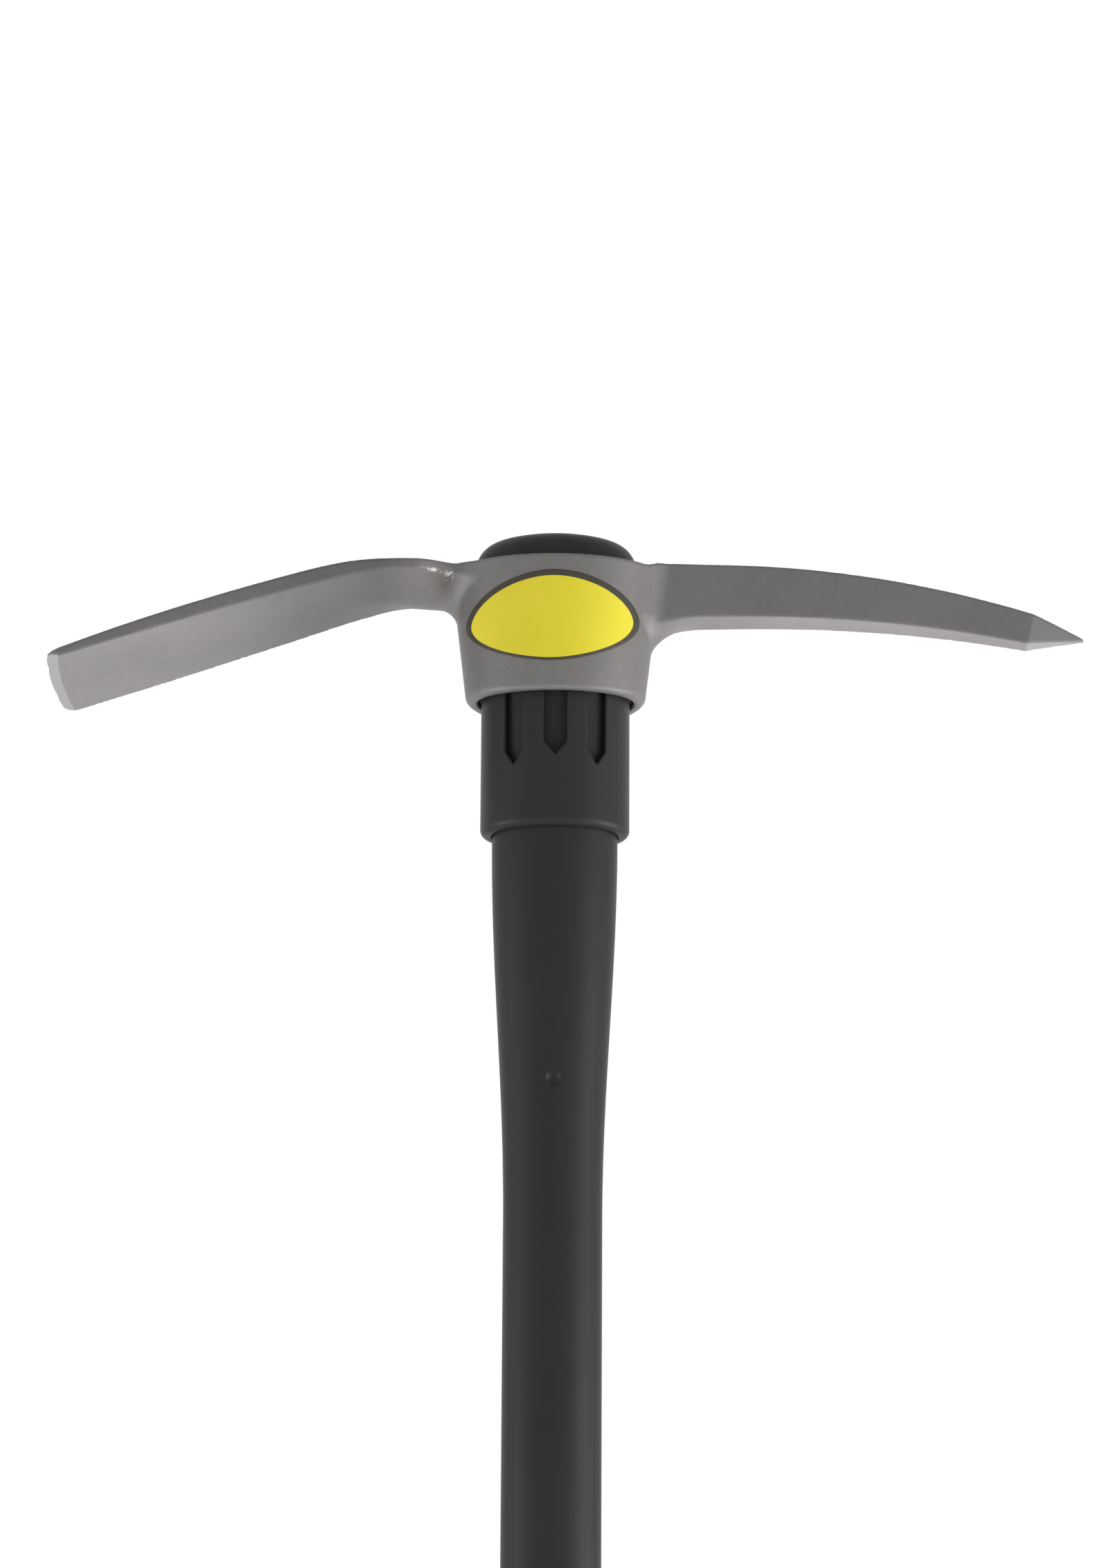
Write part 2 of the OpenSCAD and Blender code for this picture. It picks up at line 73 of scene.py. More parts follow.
HOE_BEND_END = HOE_BEND_AT + HOE_BEND_R * math.sin(HOE_SLOPE)
HOE_DIP_ROOT, HOE_DIP = 0.5, 1.7  # how far its top lies below the eye's top
HOE_RISE = 2.0
HOE_THIN, HOE_THICK, HOE_BEVEL_THICK, HOE_EDGE_THICK = 4.0, 5.8, 3.0, 1.0
# How much fuller its blade is below than a plain taper, and where that starts and lessens
FULL, FULL_AT, FULL_OVER = 0.9, 62.0, 16.0
FULL_LOSS, FULL_LOSS_AT, FULL_LOSS_OVER = 0.35, 85.0, 40.0
# The ridge under its neck, and its edges
KEEL, KEEL_LEN, KEEL_ROUND, KEEL_POWER = 10.8, 50.0, 0.35, 1.15
HOE_SIDE_R, HOE_END_R, HOE_FILLET = 0.35, 0.3, 6.0

# The pick
PICK_WALL = 37.9
PICK_REACH, PICK_POINT = 205.5, 20.5
PICK_POINT_AT = PICK_REACH - PICK_POINT
PICK_HALF_W, PICK_END_HALF_W = 9.0, 5.3
PICK_HALF_H, PICK_END_HALF_H = 11.0, 6.3
PICK_THINNING = 1.7
PICK_TIP_HALF, PICK_TIP_LIFT = 0.6, 2.2
PICK_RISE = 2.1
PICK_MIDDLE = EYE_TOP + PICK_RISE - PICK_HALF_H
PICK_BEND_AT, PICK_BEND_R, PICK_BEND_MOST = 70.0, 485.0, 0.5
PICK_SPREAD_W, PICK_SPREAD_LEN = 1.0, 20.0
PICK_EDGE_R, PICK_POINT_R, PICK_ROOT_R, PICK_ROOT_R_LEN = 0.9, 0.4, 2.5, 5.0
# Its root, which curves down into the eye's end
ROOT_DEPTH, ROOT_LEN, ROOT_STEEPEST, ROOT_SIDE_LOSS = 16.0, 22.0, 0.985, 0.55
PICK_FILLET_HIGH, PICK_FILLET_LOW, PICK_FILLET_DROP, PICK_FILLET_OVER = 5.5, 1.2, 20.0, 10.0

# The collar, and its slots by place, width and drop below the eye
COLLAR, COLLAR_H, COLLAR_FOOT_R = 28.8, 52.8, 3.0
COLLAR_BOTTOM = EYE_BOTTOM - COLLAR_H
FINGER_START, FINGER_STEP, FINGER_H = 1.6, 1.3, 18.0
FINGER_TOP = EYE_BOTTOM + FINGER_H
FINGER_CLEAR, COLLAR_CLEAR = 0.3, 0.2
FINGER_TOP_R, COLLAR_BORE_R = 0.6, 0.3
SLOTS = ((-16.1, 7.7, 28.0), (0.0, 9.0, 25.0), (16.1, 7.7, 28.0))
SLOT_POINT, SLOT_CORNER_R, SLOT_RIM_R = 5.5, 0.4, 0.45

# The handle, by half widths
SHAFT, NECK, NECK_HIGH = 18.8, 24.25, 26.2
BULB_DROP, BULB_STEP = 22.0, 7.4
NECK_TOP = EYE_TOP - BULB_DROP - BULB_STEP
NECK_LEN = 150.0
NECK_START = COLLAR_BOTTOM - NECK_LEN
BOND_GAP = 0.5
CROWN_INSET, CROWN_R, DOME_RISE = 0.3, 9.4, 3.8
DIMPLE_Z = EYE_TOP - 205.0
DIMPLE_R, DIMPLE_DEPTH = 3.1, 1.2
DIMPLE_ZONE = 4.5  # half the height that is finely divided round it
AROUND = np.arange(0, 360, 2.5)
AROUND_DIMPLE = np.arange(257.0, 283.1, 0.75)

# The grip sleeve, with half the outline of a groove by depth and distance from its middle
GRIP_TOP, GRIP_CLEAR = 290.0, 0.1
SLEEVE = SHAFT + 1.0
BORE = SLEEVE - 3.2
SOCKET_FLOOR = 9.0
BUTT, BUTT_FLAT, BUTT_R, FLARE_TOP = 24, 16, 4, 46
GROOVES, GROOVE_MARGIN = 18, 14
GROOVE = ((0.0, 1.9), (0.05, 1.5), (0.85, 0.85), (0.9, 0.6))

# The label: its middle, half sizes and tilt, then the yellow field inside its border
LABEL_AT = (-1.2, EYE_TOP - 25.0)
LABEL_HALF = (33.6, 18.1)
LABEL_TURN = math.radians(1.4)
LABEL_POINTED = 1.82
LABEL_T = 0.25
LABEL_EDGE = (0.16, -0.15)  # lift of the two rings that close its edge
LABEL_EDGE_GROW = 0.1
FIELD_SHIFT = (-0.2, -0.65)
FIELD_HALF = (31.5, 16.5)


# Small helpers for fields: a field is negative inside a solid, and about a distance near its skin

def mix(a, b, t):
    return a + (b - a) * t


def clip01(t):
    return np.clip(t, 0.0, 1.0)


def ease(t):
    return (1 - np.cos(np.pi * clip01(t))) / 2


def both(a, b, r):
    """Common part of two solids, with the edge between them rounded."""
    corner = np.hypot(np.maximum(a + r, 0), np.maximum(b + r, 0))
    return np.minimum(np.maximum(a, b), -r) + corner


def either(a, b, r):
    """Union of two solids, with a fillet between them."""
    corner = np.hypot(np.maximum(r - a, 0), np.maximum(r - b, 0))
    return np.maximum(np.minimum(a, b), r) - corner


def oval_field(x, y, a, b):
    q = np.hypot(x / a, y / b)
    slope = np.hypot(x / a**2, y / b**2) / np.maximum(q, 1e-6)
    return (q - 1) / np.maximum(slope, 1e-6)


# The forged head: the sides and undersides of its eye, hoe and pick, joined by fillets, under
# one top skin

def eye_share(z):
    return np.clip((z - EYE_BOTTOM) / EYE_H, -EYE_MARGIN, 1 + EYE_MARGIN)


def eye_body(x, y, z):
    share = eye_share(z)
    end = mix(END_LOW, END_HIGH, share)
    side = oval_field(x, y, end, mix(CHEEK_LOW, CHEEK_HIGH, share))
    out = clip01(np.abs(x) / end)
    rim = EYE_BOTTOM + RIM_LIFT * out**4
    return both(side, rim - z, mix(RIM_R_FRONT, RIM_R_END, out**2))


def hole_field(x, y, z):
    inside = mix(MOUTH, THROAT, eye_share(z))
    return oval_field(x, y, inside, inside * OVAL)


def hoe_widening(s):
    share = clip01((s - HOE_WALL) / (HOE_SHOULDER_AT - HOE_WALL))
    return np.sin(np.pi / 2 * share) ** HOE_NECK_POWER


def hoe_half(s):
    root = mix(HOE_ROOT_HALF, HOE_SHOULDER_HALF, hoe_widening(s))
    share = clip01(1 - (s - HOE_SHOULDER_AT) / (HOE_EDGE_AT - HOE_SHOULDER_AT))
    blade = mix(HOE_EDGE_HALF, HOE_SHOULDER_HALF, share**HOE_BLADE_POWER)
    return np.where(s <= HOE_SHOULDER_AT, root, blade)


def bend_depth(s):
    lean = np.arcsin(np.clip((s - HOE_BEND_AT) / HOE_BEND_R, 0, math.sin(HOE_SLOPE)))
    straight = np.maximum(s - HOE_BEND_END, 0) * math.tan(HOE_SLOPE)
    return HOE_BEND_R * (1 - np.cos(lean)) + straight


def bevel_share(s):
    return clip01((s - HOE_BEVEL_AT) / (HOE_EDGE_AT - HOE_BEVEL_AT))


def hoe_fuller(s):
    """How much fuller the blade is below than a plain taper."""
    full = FULL * ease((s - FULL_AT) / FULL_OVER)
    full = full * (1 - FULL_LOSS * clip01((s - FULL_LOSS_AT) / FULL_LOSS_OVER))
    return full * (1 - bevel_share(s))


def hoe_under(s):
    past = np.maximum(s - HOE_BEVEL_AT, 0)
    drop = bend_depth(np.minimum(s, HOE_BEVEL_AT)) + past * math.tan(HOE_BEVEL_SLOPE)
    dip = mix(HOE_DIP_ROOT, HOE_DIP, hoe_widening(s))
    return EYE_TOP - dip - HOE_THIN - drop - hoe_fuller(s)


def hoe_thick(s):
    swelling = ease((s - HOE_SHOULDER_AT) / (HOE_THICK_AT - HOE_SHOULDER_AT))
    thinning = clip01((s - HOE_THICK_AT) / (HOE_BEVEL_AT - HOE_THICK_AT)) ** HOE_THIN_POWER
    neck = mix(HOE_THIN, HOE_THICK, swelling)
    blade = mix(HOE_THICK, HOE_BEVEL_THICK, thinning)
    bevel = mix(HOE_BEVEL_THICK, HOE_EDGE_THICK, bevel_share(s))
    plain = np.where(s <= HOE_THICK_AT, neck, np.where(s <= HOE_BEVEL_AT, blade, bevel))
    return plain + hoe_fuller(s)


def hoe_parts(x, y, z):
    """The hoe with no top, and the field of its top."""
    s = -x
    for _ in range(2):
        u = np.clip(y / hoe_half(np.clip(s, ARM_START, HOE_EDGE_AT)), -1, 1)
        share = clip01((s - HOE_SHOULDER_AT) / (HOE_BEVEL_AT - HOE_SHOULDER_AT))
        s = -x - HOE_BOW * share**HOE_BOW_POWER * (1 - u * u)
    at = np.clip(s, ARM_START, HOE_EDGE_AT)
    half = hoe_half(at)
    u = np.clip(y / half, -1, 1)
    rise = (1 - u * u) * (1 - ease((at - HOE_WALL) / (HOE_SWELL_AT - HOE_WALL)))
    flank = math.hypot(1, KEEL_ROUND)
    keel = (flank - np.hypot(u, KEEL_ROUND)) / (flank - KEEL_ROUND)
    keel = KEEL * keel * clip01(1 - (at - HOE_WALL) / KEEL_LEN) ** KEEL_POWER
    under = hoe_under(at)
    body = both((under - keel) - z, np.abs(y) - half, HOE_SIDE_R)
    plan = both(np.abs(y) - half, s - HOE_EDGE_AT, HOE_CORNER_R)
    body = np.maximum(both(body, plan, HOE_END_R), ARM_START + x)
    return body, z - (under + hoe_thick(at) + HOE_RISE * rise)


def pick_parts(x, y, z):
    """The pick with no top, and the field of its top."""
    s = x
    for _ in range(3):
        lean = np.arcsin(np.clip((s - PICK_BEND_AT) / PICK_BEND_R, 0, PICK_BEND_MOST))
        line = PICK_MIDDLE - PICK_BEND_R * (1 - np.cos(lean))
        v = (z - line) * np.cos(lean) + (x - s) * np.sin(lean)
        s = x - v * np.sin(lean)
    taper = clip01((s - PICK_WALL) / (PICK_POINT_AT - PICK_WALL)) ** PICK_THINNING
    flare = (1 - clip01((s - PICK_WALL + EYE_WALL) / PICK_SPREAD_LEN)) ** 2
    point = clip01((s - PICK_POINT_AT) / PICK_POINT)
    half_w = mix(mix(PICK_HALF_W, PICK_END_HALF_W, taper), PICK_TIP_HALF, point)
    half_w = half_w + PICK_SPREAD_W * flare
    half_h = mix(mix(PICK_HALF_H, PICK_END_HALF_H, taper), PICK_TIP_HALF, point)
    v = v - PICK_TIP_LIFT * point
    # The root curves down into the leaning end wall of the eye
    wall = PICK_WALL - (END_HIGH - END_LOW) / EYE_H * np.maximum(-v - half_h, 0)
    gap = s - wall * np.sqrt(1 - clip01(np.abs(y) / CHEEK_HIGH) ** 2)
    sunk = 1 - np.sqrt(1 - np.clip(1 - gap / ROOT_LEN, 0, ROOT_STEEPEST) ** 2)
    sunk = ROOT_DEPTH * sunk * (1 - ROOT_SIDE_LOSS * clip01(np.abs(y) / half_w) ** 2)
    edge = mix(PICK_EDGE_R, PICK_POINT_R, point)
    edge = mix(edge, PICK_ROOT_R, ease(1 - gap / PICK_ROOT_R_LEN))
    body = both(-v - half_h - sunk, np.abs(y) - half_w, edge)
    body = np.maximum(both(body, s - PICK_REACH, PICK_POINT_R), ARM_START - x)
    return body, v - half_h + PICK_RISE * flare**3


def head_field(p):
    x, y, z = p[..., 0], p[..., 1], p[..., 2]
    hoe, hoe_top = hoe_parts(x, y, z)
    pick, pick_top = pick_parts(x, y, z)
    body = either(eye_body(x, y, z), hoe, HOE_FILLET)
    low = clip01((EYE_TOP - PICK_FILLET_DROP - z) / PICK_FILLET_OVER)
    body = either(body, pick, mix(PICK_FILLET_HIGH, PICK_FILLET_LOW, low))
    arm_top = np.where(x < 0, hoe_top, pick_top)
    top = mix(z - EYE_TOP, arm_top, ease((np.abs(x) - TOP_BLEND_AT) / TOP_BLEND))
    return both(both(body, top, TOP_R), -hole_field(x, y, z), HOLE_R)


# The slotted collar

def neck_half(z):
    return mix(NECK, NECK_HIGH, (z - COLLAR_BOTTOM) / (NECK_TOP - COLLAR_BOTTOM))


def collar_field(p):
    x, y, z = p[..., 0], p[..., 1], p[..., 2]
    swell = clip01((z - EYE_BOTTOM - FINGER_START) / FINGER_STEP)
    outer = mix(COLLAR, MOUTH - FINGER_CLEAR, swell)
    ring = both(oval_field(x, y, outer, outer * OVAL), COLLAR_BOTTOM - z, COLLAR_FOOT_R)
    ring = both(ring, z - FINGER_TOP, FINGER_TOP_R)
    inner = neck_half(z) + COLLAR_CLEAR
    ring = both(ring, -oval_field(x, y, inner, inner * OVAL), COLLAR_BORE_R)
    for at, width, drop in SLOTS:
        face = OVAL * math.sqrt(COLLAR**2 - at * at)
        lean = math.atan(at * OVAL * OVAL / face)
        across = (x - at) * math.cos(lean) - (np.abs(y) - face) * math.sin(lean)
        rise = SLOT_POINT / (width / 2)
        point = (EYE_BOTTOM - drop + np.abs(across) * rise - z) / math.hypot(1, rise)
        slot = both(np.abs(across) - width / 2, point, SLOT_CORNER_R)
        ring = both(ring, -slot, SLOT_RIM_R)
    return ring


# Meshes

SNAP_ROUNDS, NUDGE, LEAST_SLOPE = 3, 0.05, 0.05


def settle(field, points, step):
    """Points moved onto the surface where a field is zero."""
    for _ in range(SNAP_ROUNDS):
        here = field(points)
        slope = np.empty_like(points)
        for axis in range(3):
            nudge = np.zeros(3)
            nudge[axis] = NUDGE
            slope[:, axis] = (field(points + nudge) - field(points - nudge)) / (2 * NUDGE)
        move = slope * (here / np.maximum((slope**2).sum(1), LEAST_SLOPE))[:, None]
        far = np.linalg.norm(move, axis=1)
        points = points - move * np.minimum(1, 0.5 * step / np.maximum(far, 1e-9))[:, None]
    return points


def skin_of(field, low, high, step):
    """Points and quads of the surface where a field is zero, one point in each cell it crosses."""
    axes = [np.arange(a, b + step, step) for a, b in zip(low, high)]
    value = np.empty([len(a) for a in axes], np.float32)
    for i, x in enumerate(axes[0]):
        yy, zz = np.meshgrid(axes[1], axes[2], indexing="ij")
        value[i] = field(np.stack([np.full_like(yy, x), yy, zz], -1))
    inside = value < 0
    shape = [n - 1 for n in value.shape]
    corners = [(i, j, k) for i in (0, 1) for j in (0, 1) for k in (0, 1)]

    def shifted(a, c):
        return a[c[0]:c[0] + shape[0], c[1]:c[1] + shape[1], c[2]:c[2] + shape[2]]

    count = sum(shifted(inside, c).astype(np.int8) for c in corners)
    mixed = (count > 0) & (count < 8)
    cell = np.argwhere(mixed)
    number = np.full(mixed.shape, -1, np.int64)
    number[mixed] = np.arange(len(cell))
    found = {c: shifted(value, c)[mixed] for c in corners}
    total, hits = np.zeros((len(cell), 3)), np.zeros(len(cell))
    for c in corners:
        for axis in range(3):
            if c[axis] == 0:
                d = tuple(1 if k == axis else c[k] for k in range(3))
                a, b = found[c], found[d]
                crossed = (a < 0) != (b < 0)
                t = np.where(crossed, a / np.where(crossed, a - b, 1), 0)
                spot = np.tile(np.array(c, float), (len(cell), 1))
                spot[:, axis] += t
                total += np.where(crossed[:, None], spot, 0)
                hits += crossed
    origin = np.array([a[0] for a in axes])
    points = settle(field, origin + (cell + total / hits[:, None]) * step, step)
    # A quad round each grid edge that the surface crosses
    quads = []
    for axis, (p, q) in enumerate([(1, 2), (2, 0), (0, 1)]):
        first, second = (inside[tuple(along if k == axis else slice(1, -1) for k in range(3))]
                         for along in (slice(None, -1), slice(1, None)))
        at = np.argwhere(first != second)
        outward = first[first != second]
        at[:, p] += 1
        at[:, q] += 1
        ring = []
        for dp, dq in ((0, 0), (-1, 0), (-1, -1), (0, -1)):
            c = at.copy()
            c[:, p] += dp
            c[:, q] += dq
            ring.append(number[c[:, 0], c[:, 1], c[:, 2]])
        ring = np.stack(ring, 1)
        quads.append(np.where(outward[:, None], ring, ring[:, ::-1]))
    return points, np.concatenate(quads)


def turned(outline, angles):
    """Oval turned form from an outline of (half width, height) whose two ends lie on the axis."""
    around = np.radians(angles)
    n = len(around)
    rings = [np.stack([r * np.cos(around), r * OVAL * np.sin(around), np.full(n, z)], 1)
             for r, z in outline[1:-1]]
    points = np.concatenate([[[0, 0, outline[0][1]]], *rings, [[0, 0, outline[-1][1]]]])
    last = len(points) - 1
    faces = []
    for i in range(n):
        j = (i + 1) % n
        faces.append((0, 1 + j, 1 + i))
        for k in range(len(rings) - 1):
            a = 1 + k * n
            faces.append((a + i, a + j, a + n + j, a + n + i))
        top = 1 + (len(rings) - 1) * n
        faces.append((top + i, top + j, last))
    return points, faces


def crown_outline():
    """The crown from its edge to its top: a quarter round that runs into a shallow dome."""
    edge_x = THROAT - BOND_GAP - CROWN_INSET - CROWN_R
    lean = math.atan(2 * DOME_RISE / (edge_x + CROWN_R / 2))
    edge_z = OVERALL - DOME_RISE - CROWN_R * math.cos(lean)
    dome_x = edge_x + CROWN_R * math.sin(lean)
    edge = [(edge_x + CROWN_R * math.cos(t), edge_z + CROWN_R * math.sin(t))
            for t in np.linspace(0, math.pi / 2 - lean, 24)]
    dome = [(dome_x * t, OVERALL - DOME_RISE * t * t) for t in np.linspace(1, 0, 20)[1:]]
    return edge + dome


def shaft_half(z):
    return float(mix(SHAFT, NECK, ease((z - NECK_START) / NECK_LEN)))


def handle_mesh():
    """The handle from its end in the grip to its crown, finely divided round the dimple."""
    low, step_at = SOCKET_FLOOR + GRIP_CLEAR, GRIP_TOP + GRIP_CLEAR
    plug = BORE - GRIP_CLEAR
    neck_levels = np.linspace(NECK_START, COLLAR_BOTTOM, 60)
    dimple_levels = np.linspace(DIMPLE_Z - DIMPLE_ZONE, DIMPLE_Z + DIMPLE_ZONE, 31)
    levels = sorted({*neck_levels.tolist(), *dimple_levels.tolist()})
    bulb = mix(MOUTH, THROAT, (EYE_H - BULB_DROP) / EYE_H) - BOND_GAP
    outline = [(0, low), (plug, low), (plug, step_at), (SHAFT, step_at)]
    outline += [(SHAFT, z) for z in np.linspace(step_at + 1, NECK_START - 1, 40)]
    outline += [(shaft_half(z), z) for z in levels]
    outline += [(NECK_HIGH, NECK_TOP), (bulb, EYE_TOP - BULB_DROP), (THROAT - BOND_GAP, EYE_TOP)]
    outline += crown_outline()
    points, faces = turned(outline, sorted({*AROUND.tolist(), *AROUND_DIMPLE.tolist()}))
    # The dimple is where a ball cuts into the front
    ball = (DIMPLE_R**2 + DIMPLE_DEPTH**2) / (2 * DIMPLE_DEPTH)
    centre = DIMPLE_DEPTH - shaft_half(DIMPLE_Z) * OVAL - ball
    spread = ball**2 - points[:, 0] ** 2 - (points[:, 2] - DIMPLE_Z) ** 2
    floor_y = centre + np.sqrt(np.maximum(spread, 0))
    sunk = (spread > 0) & (points[:, 1] < floor_y)
    points[sunk, 1] = floor_y[sunk]
    return points, faces


def grip_mesh():
    """The sleeve from the middle of the butt, up its outside and down into its socket."""
    foot = [(BUTT - BUTT_R * (1 - math.sin(t)), BUTT_R * (1 - math.cos(t)))
            for t in np.linspace(0, math.pi / 2, 10)]
    flare = [(float(mix(BUTT, SLEEVE, ease(t))), mix(BUTT_R, FLARE_TOP, t))
             for t in np.linspace(0, 1, 30)[1:]]
    grooves = []
    for k in range(GROOVES):
        span = GRIP_TOP - FLARE_TOP - 2 * GROOVE_MARGIN
        z = FLARE_TOP + GROOVE_MARGIN + k * span / (GROOVES - 1)
        grooves += [(SLEEVE - depth, z - off) for depth, off in GROOVE]
        grooves += [(SLEEVE - depth, z + off) for depth, off in reversed(GROOVE)]
    lip = [(SLEEVE, GRIP_TOP - 1.0), (SLEEVE - 0.1, GRIP_TOP - 0.55), (SLEEVE - 0.8, GRIP_TOP),
           (BORE, GRIP_TOP), (BORE, SOCKET_FLOOR), (0, SOCKET_FLOOR)]
    outline = [(0, 0), (BUTT_FLAT, 0)] + foot + flare + grooves + lip
    return turned(outline, AROUND)


def on_cheek(x, z, lift):
    """Place on the eye's front, or a little above it."""
    part = (z - EYE_BOTTOM) / EYE_H
    end, cheek = mix(END_LOW, END_HIGH, part) + lift, mix(CHEEK_LOW, CHEEK_HIGH, part) + lift
    return x, -cheek * math.sqrt(1 - (x / end) ** 2), z


def label_mesh():
    """The label in rings round its middle, wrapped on the front cheek."""
    rings, around = 26, 120
    cos, sin = math.cos(LABEL_TURN), math.sin(LABEL_TURN)
    layers = [(k / rings, LABEL_T, 0.0) for k in range(1, rings + 1)]
    layers += [(1.0, lift, LABEL_EDGE_GROW) for lift in LABEL_EDGE]
    points = []
    for share, lift, grow in layers:
        for i in range(around):
            t = 2 * math.pi * i / around
            u, v = (math.copysign(abs(c) ** (2 / LABEL_POINTED), c) * (half * share + grow)
                    for c, half in zip((math.cos(t), math.sin(t)), LABEL_HALF))
            x = LABEL_AT[0] + u * cos - v * sin
            z = LABEL_AT[1] + u * sin + v * cos
            points.append(on_cheek(x, z, lift))
    part = (LABEL_AT[1] - EYE_BOTTOM) / EYE_H
    points.append((LABEL_AT[0], -(mix(CHEEK_LOW, CHEEK_HIGH, part) + LABEL_T), LABEL_AT[1]))
    faces = [(len(points) - 1, i, (i + 1) % around) for i in range(around)]
    for k in range(len(layers) - 1):
        for i in range(around):
            j = (i + 1) % around
            a, b = k * around, (k + 1) * around
            faces.append((a + i, b + i, b + j, a + j))
    return points, faces


def piece(name, mesh_data, material, node):
    """Smooth mesh piece, given in millimetres, that stands for a CAD node."""
    points, faces = mesh_data
    mesh = bpy.data.meshes.new(name)
    mesh.from_pydata((np.asarray(points) * MM).tolist(), [], [list(map(int, f)) for f in faces])
    mesh.validate()
    mesh.shade_smooth()
    mesh.materials.append(material)
    obj = bpy.data.objects.new(name, mesh)
    scene.collection.objects.link(obj)
    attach(obj, "root")
    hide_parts(node)


# Materials. Places, widths and bump heights are in metres, and noise scales are per metre.

class Nodes:
    """Short way to write a material's nodes."""

    def __init__(self, name):
        self.material = bpy.data.materials.new(name)
        self.material.use_nodes = True
        self.tree = self.material.node_tree
        self.shader = self.tree.nodes["Principled BSDF"]

    def add(self, kind, inputs=None, **settings):
        node = self.tree.nodes.new(kind)
        for key, value in settings.items():
            setattr(node, key, value)
        for key, value in (inputs or {}).items():
            self.feed(node.inputs[key], value)
        return node

    def feed(self, socket, value):
        if isinstance(value, bpy.types.NodeSocket):
            self.tree.links.new(value, socket)
        elif socket.type == "RGBA":
            socket.default_value = (*value, 1)
        else:
            socket.default_value = value

    def set(self, **inputs):
        for key, value in inputs.items():
            self.feed(self.shader.inputs[key.replace("_", " ")], value)

    def place(self):
        return self.add("ShaderNodeTexCoord").outputs["Object"]

    def noise(self, vector, scale, detail=3.0, roughness=0.55):
        return self.add("ShaderNodeTexNoise", {
            "Vector": vector, "Scale": scale, "Detail": detail,
            "Roughness": roughness}).outputs["Fac"]

    def ramp(self, value, *stops):
        node = self.add("ShaderNodeValToRGB", {"Fac": value})
        while len(node.color_ramp.elements) < len(stops):
            node.color_ramp.elements.new(0.5)
        for element, (at, colour) in zip(node.color_ramp.elements, stops):
            element.position = at
            element.color = (*colour, 1)
        return node.outputs["Color"]

    def blend(self, share, a, b, mode="MIX"):
        return self.add("ShaderNodeMix", {0: share, 6: a, 7: b}, data_type="RGBA",
                        blend_type=mode).outputs[2]

    def math(self, operation, a, b=0.0):
        return self.add("ShaderNodeMath", {0: a, 1: b}, operation=operation).outputs["Value"]

    def map(self, value, low, high, start=0.0, end=1.0):
        return self.add("ShaderNodeMapRange", {
            "Value": value, "From Min": start, "From Max": end,
            "To Min": low, "To Max": high}).outputs["Result"]

    def vector(self, operation, a, b):
        return self.add("ShaderNodeVectorMath", {0: a, 1: b}, operation=operation)

    def far_from(self, at, first, last):
        """Distance from the straight line between two places."""
        span = last - first
        away = self.vector("SUBTRACT", at, first).outputs["Vector"]
        share = self.vector("DOT_PRODUCT", away, span / span.dot(span)).outputs["Value"]
        share = self.map(share, 0.0, 1.0)
        share = self.add("ShaderNodeCombineXYZ", {0: share, 1: share, 2: share}).outputs["Vector"]
        near = self.vector("MULTIPLY", share, span).outputs["Vector"]
        rest = self.vector("SUBTRACT", away, near).outputs["Vector"]
        return self.add("ShaderNodeVectorMath", {0: rest}, operation="LENGTH").outputs["Value"]

    def parts(self, vector):
        node = self.add("ShaderNodeSeparateXYZ", {"Vector": vector})
        return node.outputs["X"], node.outputs["Y"], node.outputs["Z"]

    def bump(self, height, distance, strength):
        return self.add("ShaderNodeBump", {
            "Height": height, "Distance": distance, "Strength": strength}).outputs["Normal"]


def grey(v):
    return (v, v, v)


STEEL_DARK, STEEL_LIGHT = (0.216, 0.205, 0.203), (0.268, 0.254, 0.251)
# Lighter edges, partly wear and partly a painted highlight; a painted glint; the ground bevel
WEAR_AND_EDGE_HIGHLIGHT, GLINT_COLOUR, GROUND = (0.40, 0.39, 0.383), (0.72, 0.71, 0.69), (0.40, 0.389, 0.386)
# Colours of the pick's point facets: painted shade on those that face sideways, painted light on
# those that face down
FACET_SIDE_SHADE, FACET_UNDER_LIGHT = (0.188, 0.182, 0.179), (0.38, 0.371, 0.366)
# Painted shade and light along the head, from 200 mm on the hoe's side of the axis to 200 mm on
# the pick's
SHADE_ALONG_SPAN = 0.2
SHADE_ALONG_HEAD = ((0.13, 0.67), (0.20, 0.68), (0.265, 0.57), (0.33, 0.51),
          (0.385, 0.83), (0.42, 0.74), (0.63, 0.74), (0.70, 0.64))
# A painted glint: a bright streak from one place to another, and a bright spot at its end
GLINT_FROM = Vector((-0.049, -0.0235, (EYE_TOP - 5.4) * MM))
GLINT_TO = Vector((-0.0413, -0.0169, (EYE_TOP - 4.7) * MM))
GLINT_SPOT = Vector((0, 0.001, -0.0015))


